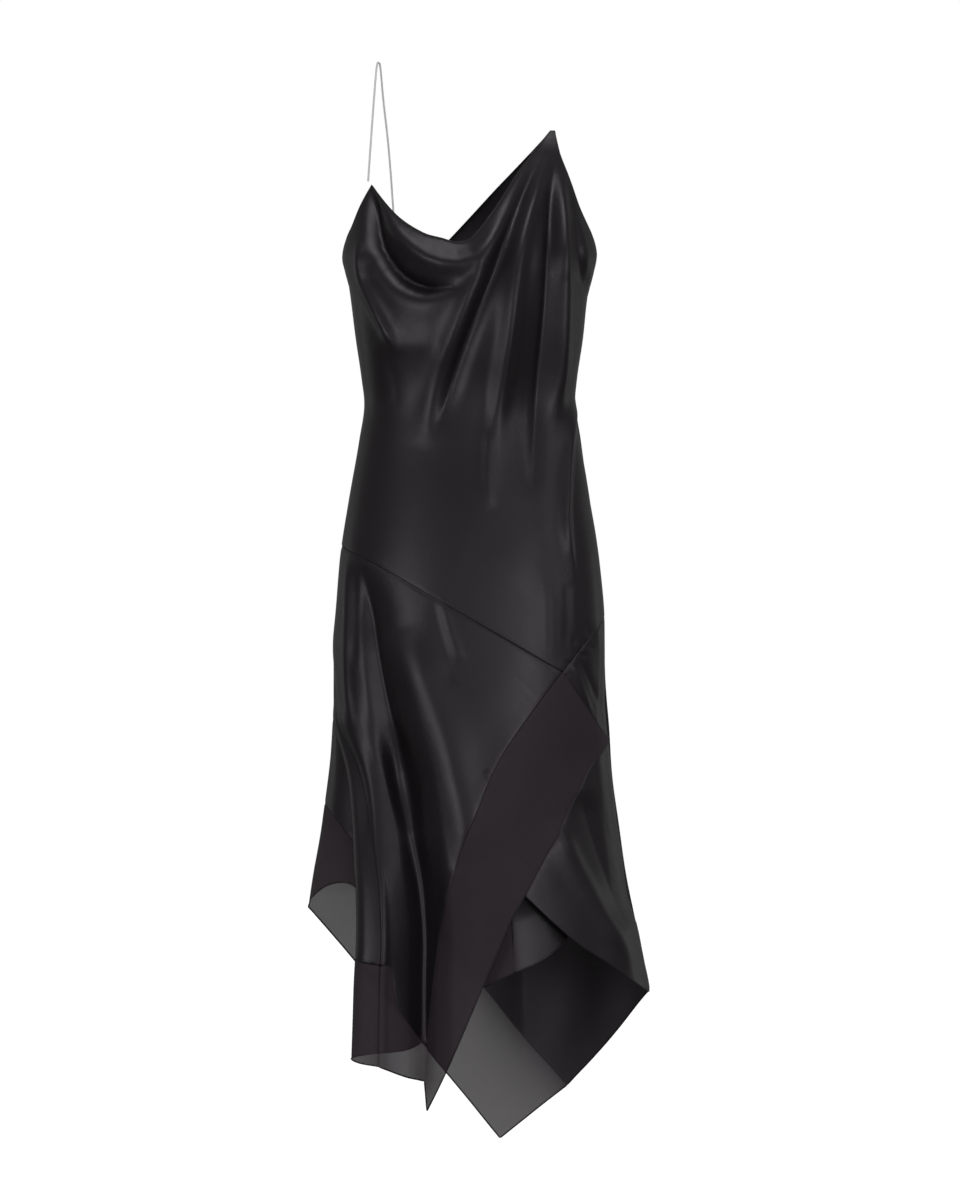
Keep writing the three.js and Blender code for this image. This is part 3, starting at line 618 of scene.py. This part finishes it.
def cloth_material(name, dark, light, roughness, relief, threads=SATIN_THREADS, alpha=None):
    material = bpy.data.materials.new(name)
    material.use_nodes = True
    tree = material.node_tree
    shader = tree.nodes["Principled BSDF"]
    weave = joined(tree, "ShaderNodeGroup", [("node_tree", WEAVE)], [("Threads", threads)])
    place = joined(tree, "ShaderNodeTexCoord")
    cloud = joined(tree, "ShaderNodeTexNoise", [],
                   [("Vector", place.outputs["Object"]), ("Scale", 14.0), ("Detail", 4.0)])
    shade = joined(tree, "ShaderNodeMix", [("data_type", "RGBA")], [("Factor", cloud.outputs["Fac"])])
    shade.inputs[MIX_DARK].default_value = (*dark, 1)
    shade.inputs[MIX_LIGHT].default_value = (*light, 1)
    tree.links.new(shade.outputs[MIX_COLOUR], shader.inputs["Base Color"])
    tree.links.new(ranged(tree, weave.outputs["Streak"], roughness), shader.inputs["Roughness"])
    bump = joined(tree, "ShaderNodeBump", [],
                  [("Height", weave.outputs["Height"]), ("Strength", relief), ("Distance", 0.0002)])
    tree.links.new(bump.outputs["Normal"], shader.inputs["Normal"])
    shader.inputs["Specular IOR Level"].default_value = 0.5
    shader.inputs["Specular Tint"].default_value = (1.0, 0.93, 1.0, 1)
    if alpha:
        closed = ranged(tree, weave.outputs["Height"], alpha)
        # Painted shade: beside a seam the sheer is made less see-through, so that it looks darker there.
        near = joined(tree, "ShaderNodeAttribute", [("attribute_name", "painted_seam_shade")])
        shaded_alpha = joined(tree, "ShaderNodeMath", [("operation", "MULTIPLY_ADD"), ("use_clamp", True)],
                        [(0, near.outputs["Fac"]), (1, SEAM_SHADE_ALPHA), (2, closed)])
        tree.links.new(shaded_alpha.outputs["Value"], shader.inputs["Alpha"])
    return material


SATIN = cloth_material("satin", (0.0090, 0.0075, 0.0088), (0.0115, 0.0097, 0.0113), (0.33, 0.42), 0.12)
# Painted light: the wrong side's colour is lighter than the satin's own, to stand in for light on the
# shaded inside of the dress.
SATIN_BACK_PAINTED_LIGHT = cloth_material(
    "satin wrong side painted light", (0.038, 0.034, 0.038), (0.046, 0.041, 0.047), (0.5, 0.65), 0.2)


def finish_satin(piece, node):
    piece.data.materials.append(SATIN)
    piece.data.materials.append(SATIN_BACK_PAINTED_LIGHT)
    wall = piece.modifiers.new("cloth", "SOLIDIFY")
    wall.thickness = SATIN_THICK
    wall.offset = -1
    wall.use_even_offset = False
    wall.material_offset = 1
    wall.material_offset_rim = 0
    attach(piece, "root")
    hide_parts(node)


# Narrow rolled edges: the cut edge of the cloth is turned over and stitched down, so that it reads as a
# thin round cord along the neck, the armholes and the hems. Its two ends taper into the cloth.
EDGE_ROLL, HEM_ROLL = 0.7, 0.9
EDGE_TUCK, NECK_TUCK = -0.4, -0.2
ROLL_STEP, END_TAPER = 0.3, 0.45


def edge_line(line, under=None, out=0.0):
    angle, z = line[:, 0], line[:, 1]
    place = on_section(angle, z)
    lift = folded_out(angle, place) + out
    if under is not None:
        lift -= under(place)
    return place + out_of_section(angle, z) * lift[:, None]


def roll(name, lines, radius, material, sides=8):
    verts, faces = [], []
    for line in lines:
        path = np.asarray(line)
        step = np.linalg.norm(np.diff(path, axis=0), axis=1)
        path = path[np.concatenate([[True], step > ROLL_STEP])]
        ahead = np.gradient(path, axis=0)
        ahead /= np.linalg.norm(ahead, axis=1, keepdims=True)
        base = len(verts)
        side = np.cross(ahead[0], (0.0, 0.0, 1.0) if abs(ahead[0][2]) < 0.9 else (0.0, 1.0, 0.0))
        for i, (at, along) in enumerate(zip(path, ahead)):
            side = side - along * (side @ along)
            side /= np.linalg.norm(side)
            other = np.cross(along, side)
            taper = END_TAPER if i in (0, len(path) - 1) else 1.0
            for k in range(sides):
                turn = 2 * math.pi * k / sides
                verts.append(at + radius * taper * (math.cos(turn) * side + math.sin(turn) * other))
        for i in range(len(path) - 1):
            for k in range(sides):
                a, b = base + i * sides + k, base + i * sides + (k + 1) % sides
                faces.append((a, b, b + sides, a + sides))
        faces.append(tuple(base + k for k in range(sides))[::-1])
        last = base + (len(path) - 1) * sides
        faces.append(tuple(last + k for k in range(sides)))
    mesh = bpy.data.meshes.new(name)
    mesh.from_pydata((np.array(verts) * METRE).tolist(), [], faces)
    mesh.polygons.foreach_set("use_smooth", [True] * len(mesh.polygons))
    mesh.materials.append(material)
    mesh.validate()
    piece = bpy.data.objects.new(name, mesh)
    bpy.context.scene.collection.objects.link(piece)
    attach(piece, "root")
    return piece


# The front body's own cut, edge by edge as seen from the front: from the left peak along the neck to the
# shoulder point, down the armholes and side seams, and along the slanted hip seam to its corner.
SHOULDER_INNER, SHOULDER_OUTER, SHOULDER_Z = 97, 101.5, -82.5
UNDERARM, HIP_LEFT, HIP_RIGHT = -270, -580, -664
HIP_CORNER = (110, -731)
FRONT_NECK = [(-121.5, -147.5), (-89, -188), (-58, -210), (-34, -218), (-14, -223), (4, -216), (33, -177),
              (62, -128), (SHOULDER_INNER, SHOULDER_Z)]
neck_front = seen("front", FRONT_NECK)
armhole_left = seen("front", [(-145, -270), (-149, -256), (-153, -240), (-151.5, -226), (-146.5, -211),
                              (-140, -197), (-130, -168), (-125.5, -156), FRONT_NECK[0]])
armhole_left[0, 0] = LEFT_SEAM
shoulder = seen("front", [(SHOULDER_INNER, SHOULDER_Z), (SHOULDER_OUTER, SHOULDER_Z)])
armhole_right = seen("front", [(SHOULDER_OUTER, SHOULDER_Z), (107, -110), (122.5, -154), (132.5, -182),
                               (146, -211), (151, -228), (151, -240), (147.5, -255), (143, -270)])
armhole_right[-1, 0] = RIGHT_SEAM
hip_left = seen("front", [(-157, HIP_LEFT), (-88, -617), HIP_CORNER], curved=False)
hip_left[0, 0] = LEFT_SEAM
hip_right = seen("front", [HIP_CORNER, (136, -700), (163, HIP_RIGHT)])
hip_right[-1, 0] = RIGHT_SEAM
body_left_side = laid([(LEFT_SEAM, HIP_LEFT), (LEFT_SEAM, UNDERARM)])
body_right_side = laid([(RIGHT_SEAM, UNDERARM), (RIGHT_SEAM, HIP_RIGHT)])
front_body = drape("front_body_cloth", [
    (body_left_side, "seam"),
    (armhole_left, "open"),
    (neck_front, "neck"),
    (shoulder, "seam"),
    (armhole_right, "open"),
    (body_right_side, "seam"),
    (flipped(hip_right), "seam"),
    (flipped(hip_left), "seam"),
], height=-420)
finish_satin(front_body, "front_body")
at_neck = np.linspace(0, 1, len(neck_front))
neck_curl = -FRONT_CURL * ease(at_neck / CURL_START) * ease((1 - at_neck) / CURL_END)
front_body_edges = roll("front_body_rolled_edges", [
    edge_line(armhole_left, out=EDGE_TUCK),
    edge_line(armhole_right, out=EDGE_TUCK),
    edge_line(neck_front, out=neck_curl + NECK_TUCK),
], EDGE_ROLL, SATIN)


# Back body: one panel of satin, cut away slantwise from the shoulder point down to the left underarm, and
# sewn to the front body at both sides and to the back skirt at the hips.
neck_back = seen("back", [(SHOULDER_INNER, SHOULDER_Z), (34, -143), (-27, -207), (-46, -224),
                          (-80, -242), (-120, -256), (-145, UNDERARM)])
neck_back[-1, 0] = LEFT_SEAM_BACK
armhole_back = laid([(RIGHT_SEAM, UNDERARM), (95, -258), (99, -240), (103, -211), (107, -182), (111, -150),
                     (115, -112), (float(grain_at("back", SHOULDER_OUTER, SHOULDER_Z)), SHOULDER_Z)])
hip_back = seen("back", [(-158, HIP_LEFT), (163, HIP_RIGHT)], curved=False)
hip_back[0, 0], hip_back[-1, 0] = LEFT_SEAM_BACK, RIGHT_SEAM
back_body = drape("back_body_cloth", [
    (flipped(body_right_side), "seam"),
    (armhole_back, "open"),
    (neck_back, "neck"),
    (from_behind(body_left_side), "seam"),
    (hip_back, "seam"),
], height=-420, curl=BACK_CURL)
finish_satin(back_body, "back_body")
back_body_edges = roll(
    "back_body_rolled_edges", [edge_line(armhole_back, out=EDGE_TUCK)], EDGE_ROLL, SATIN)


# Front skirt, in satin: the large panel left of the sheer band and a small side piece above the band,
# both sewn to the body along the slanted hip seam, and a flap to the band's right, which is sewn to the
# band and to the side seam and ends in a narrow rolled hem.
LEFT_SATIN_END, LEFT_SEAM_END = -1077, -1195
BAND_TOP, BAND_FOOT, SIDE_POINT = -811, -816, -1114
BAND_CORNER, SLIT_TOP, BAND_TIP = (114, -736), (65, -993), (-50.5, -1251)
PANEL_FOOT, BORDER_FOOT = (-51, -1176), (-54, -1216)
band_left = seen("front", [HIP_CORNER, (83, -766), (35.6, -834), (7.3, -899), (-17.4, -963.5),
                           (-34, -1034), (-43.5, -1099.5), PANEL_FOOT])
band_tail = seen("front", [PANEL_FOOT, BORDER_FOOT], curved=False)
band_top = seen("front", [BAND_CORNER, (164.5, BAND_TOP)], curved=False)
band_top[-1, 0] = RIGHT_SEAM
band_right = seen("front", [(166, BAND_FOOT), (143, -846), (113, -904), SLIT_TOP])
band_right[0, 0] = RIGHT_SEAM
flap_hem = seen("front", [SLIT_TOP, (120.7, -1045), (168.8, -1079), (216, SIDE_POINT - 1)])
flap_hem[-1, 0] = RIGHT_SEAM
satin_end_left = seen("front", [(-104, LEFT_SATIN_END), (-92, -1080), (-86, -1121), (-71, -1148.5),
                                PANEL_FOOT])
satin_end_left[0, 0] = LEFT_SEAM
skirt_left_side = laid([(LEFT_SEAM, LEFT_SATIN_END), (LEFT_SEAM, HIP_LEFT)])
front_left_skirt = drape("front_left_skirt_cloth", [
    (skirt_left_side, "seam"),
    (hip_left, "seam"),
    (band_left, "seam"),
    (flipped(satin_end_left), "seam"),
], height=-860)
finish_satin(front_left_skirt, "front_left_skirt")

corner_step = laid([(float(grain_at("front", *BAND_CORNER)), BAND_CORNER[1]),
                    (float(grain_at("front", *HIP_CORNER)), HIP_CORNER[1])])
front_side_piece = drape("front_side_piece_cloth", [
    (hip_right, "seam"),
    (laid([(RIGHT_SEAM, HIP_RIGHT), (RIGHT_SEAM, BAND_TOP)]), "seam"),
    (flipped(band_top), "seam"),
    (corner_step, "seam"),
], height=-740)
finish_satin(front_side_piece, "front_side_piece")

front_flap = drape("front_flap_cloth", [
    (laid([(RIGHT_SEAM, BAND_FOOT), (RIGHT_SEAM, SIDE_POINT)]), "seam"),
    (flipped(flap_hem), "open"),
    (flipped(band_right), "seam"),
], height=-1000)
finish_satin(front_flap, "front_flap")
front_flap_hem = roll(
    "front_flap_rolled_hem", [edge_line(flap_hem, out=EDGE_TUCK)], HEM_ROLL, SATIN)


# The sheer pieces: a band let in slantwise across the front that ends in a long free tip, and the border
# below the left panel. Each is one layer of fine plain-woven cloth that light shows through, and its free
# edge is a dark rolled hem. Beside its seams it is made less see-through, and so darker: painted shade.
SHEER = cloth_material(
    "sheer", (0.026, 0.017, 0.0225), (0.031, 0.0215, 0.028), (0.62, 0.75), 0.3,
    threads=1500.0, alpha=(0.89, 0.945))


def finish_sheer(piece, node):
    piece.data.materials.append(SHEER)
    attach(piece, "root")
    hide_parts(node)


slit = seen("front", [SLIT_TOP, (49.7, -1020), (37.9, -1046), (14.4, -1102), (-28, -1201.5), BAND_TIP])
band_tail_free = seen("front", [BAND_TIP, BORDER_FOOT], curved=False)
front_band = drape("front_sheer_band_cloth", [
    (flipped(corner_step), "seam"),
    (band_top, "seam"),
    (laid([(RIGHT_SEAM, BAND_TOP), (RIGHT_SEAM, BAND_FOOT)]), "seam"),
    (band_right, "seam"),
    (slit, "open"),
    (band_tail_free, "open"),
    (flipped(band_tail), "seam"),
    (flipped(band_left), "seam"),
], height=-960)
finish_sheer(front_band, "front_sheer_band")
front_band_hem = roll(
    "front_sheer_band_rolled_hem", [edge_line(slit), edge_line(band_tail_free)], HEM_ROLL, SATIN)

left_hem = seen("front", [(-106, LEFT_SEAM_END), (-77, -1208), BORDER_FOOT])
left_hem[0, 0] = LEFT_SEAM
border_side = laid([(LEFT_SEAM, LEFT_SEAM_END), (LEFT_SEAM, LEFT_SATIN_END)])
front_left_border = drape("front_left_border_cloth", [
    (satin_end_left, "seam"),
    (band_tail, "seam"),
    (flipped(left_hem), "open"),
    (border_side, "seam"),
], height=-1140)
finish_sheer(front_left_border, "front_left_border")
left_border_hem = roll("front_left_border_rolled_hem", [edge_line(left_hem)], HEM_ROLL, SATIN)


# Back skirt: satin that wraps round the pleat at the left side. A sheer border is sewn along its lower
# edge, and falls to a long point behind and rises to a lobe at the left. All free edges are rolled.
BACK_POINT, BAND_CUT = (36.6, -1306.5), (119, -1239.5)
LOBE_SATIN, LOBE_HEM = (241.5, -889), (242, -1004)
satin_end_back = seen("back", [BAND_CUT, (12, -1117), (-61, -1031), (-152, -921), (-180, -889)])
satin_end_back[-1] = LOBE_SATIN
satin_end_fold = laid([LOBE_SATIN, (248, -906), (253, -936), (257, -978), (260, -1018), (264, -1064),
                       (LEFT_SEAM_BACK, LEFT_SATIN_END)])
hem_back_right = seen("back", [(216, SIDE_POINT), (179.5, -1167), BAND_CUT])
hem_back_right[0, 0] = RIGHT_SEAM
hem_back_tip = seen("back", [BAND_CUT, BACK_POINT], curved=False)
hem_back_left = seen("back", [BACK_POINT, (-51.5, -1199), (-136, -1092), (-197, -1012)])
hem_back_left[-1] = LOBE_HEM
hem_fold = laid([LOBE_HEM, (247, -988), (252, -984), (254, -1010), (256, -1090), (257.5, -1150),
                 (259.5, -1178), (265, -1187), (LEFT_SEAM_BACK, LEFT_SEAM_END)])
back_skirt = drape("back_skirt_cloth", [
    (flipped(hip_back), "seam"),
    (from_behind(skirt_left_side), "seam"),
    (flipped(satin_end_fold), "seam"),
    (flipped(satin_end_back), "seam"),
    (flipped(hem_back_right), "open"),
    (laid([(RIGHT_SEAM, SIDE_POINT), (RIGHT_SEAM, HIP_RIGHT)]), "seam"),
], height=-920)
finish_satin(back_skirt, "back_skirt")
back_skirt_hem = roll(
    "back_skirt_rolled_hem", [edge_line(hem_back_right, out=EDGE_TUCK)], HEM_ROLL, SATIN)

back_border = drape("back_sheer_border_cloth", [
    (satin_end_back, "seam"),
    (satin_end_fold, "seam"),
    (from_behind(border_side), "seam"),
    (flipped(hem_fold), "open"),
    (flipped(hem_back_left), "open"),
    (flipped(hem_back_tip), "open"),
], height=-1060)
finish_sheer(back_border, "back_sheer_border")
back_border_hem = roll("back_sheer_border_rolled_hem", [
    edge_line(hem_fold),
    edge_line(hem_back_left),
    edge_line(hem_back_tip),
], HEM_ROLL, SATIN)


# The underlap behind the opening between band and flap: a piece of satin with a sheer corner, sewn to the
# wrong side along its slanting top edge. From there it hangs free, a little behind the skirt.
UNDERLAP_SEWN = [(45, -960), (136, -896)]
UNDERLAP = dict(sewn=2.0, hangs=15, over=70)
UNDERLAP_LEFT, UNDERLAP_RIGHT, UNDERLAP_FOOT = (48, -966), (136, -900), (54, -1084)
CORNER_LEFT = (40, -980)


def underlap_depth(place):
    off, _ = beside(UNDERLAP_SEWN, place[:, [0, 2]])
    return UNDERLAP["sewn"] + UNDERLAP["hangs"] * ease(np.abs(off) / UNDERLAP["over"])


underlap_cut = seen("front", [UNDERLAP_LEFT, (50, -1010), UNDERLAP_FOOT])
underlap_hem = seen("front", [UNDERLAP_RIGHT, (145, -976), (128, -1036), (108, -1058), (84, -1073),
                              UNDERLAP_FOOT])
underlap_top = seen("front", [UNDERLAP_LEFT, UNDERLAP_RIGHT], curved=False)
underlap = drape("underlap_cloth", [
    (underlap_top, "open"),
    (underlap_hem, "open"),
    (flipped(underlap_cut), "seam"),
], height=-1000, under=underlap_depth)
finish_satin(underlap, "underlap")
underlap_edge = roll(
    "underlap_rolled_hem", [edge_line(underlap_hem, underlap_depth)], HEM_ROLL, SATIN)

corner_hem = seen("front", [UNDERLAP_FOOT, (17, -1102), (13, -1066), CORNER_LEFT], curved=False)
corner_top = seen("front", [CORNER_LEFT, UNDERLAP_LEFT], curved=False)
underlap_corner = drape("underlap_sheer_corner_cloth", [
    (underlap_cut, "seam"),
    (corner_hem, "open"),
    (corner_top, "open"),
], height=-1000, under=underlap_depth)
finish_sheer(underlap_corner, "underlap_sheer_corner")
corner_edge = roll(
    "underlap_corner_rolled_hem", [edge_line(corner_hem, underlap_depth)], HEM_ROLL, SATIN)


# Shoulder strap: one very fine strap of clear, soft plastic. It is fixed at the left peak, goes over the
# shoulder and is fixed again at the back neck edge.
STRAP_WIDE, STRAP_SIDES = 2.4, 12
STRAP_PATH = [(-121.4, -39.6, -147), (-118, -34.5, -96), (-114.6, -27, -46), (-111.7, -10, -7),
              (-109.6, 0, -1.2), (-107.6, 10, -7), (-104.4, 27, -44), (-98.5, 52, -100),
              (-93.5, 73.5, -170), (-90, 83.4, -244.8)]


def strap_material():
    material = bpy.data.materials.new("clear strap")
    material.use_nodes = True
    tree = material.node_tree
    shader = tree.nodes["Principled BSDF"]
    place = joined(tree, "ShaderNodeTexCoord")
    noise = joined(tree, "ShaderNodeTexNoise", [], [("Vector", place.outputs["Object"]), ("Scale", 160.0)])
    tree.links.new(ranged(tree, noise.outputs["Fac"], (0.2, 0.4)), shader.inputs["Roughness"])
    shader.inputs["Base Color"].default_value = (0.72, 0.72, 0.73, 1)
    shader.inputs["Alpha"].default_value = 0.55
    return material


strap_line = smooth(STRAP_PATH, 150)
shoulder_strap = roll(
    "shoulder_strap_clear", [strap_line], STRAP_WIDE / 2, strap_material(), sides=STRAP_SIDES)
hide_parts("shoulder_strap")
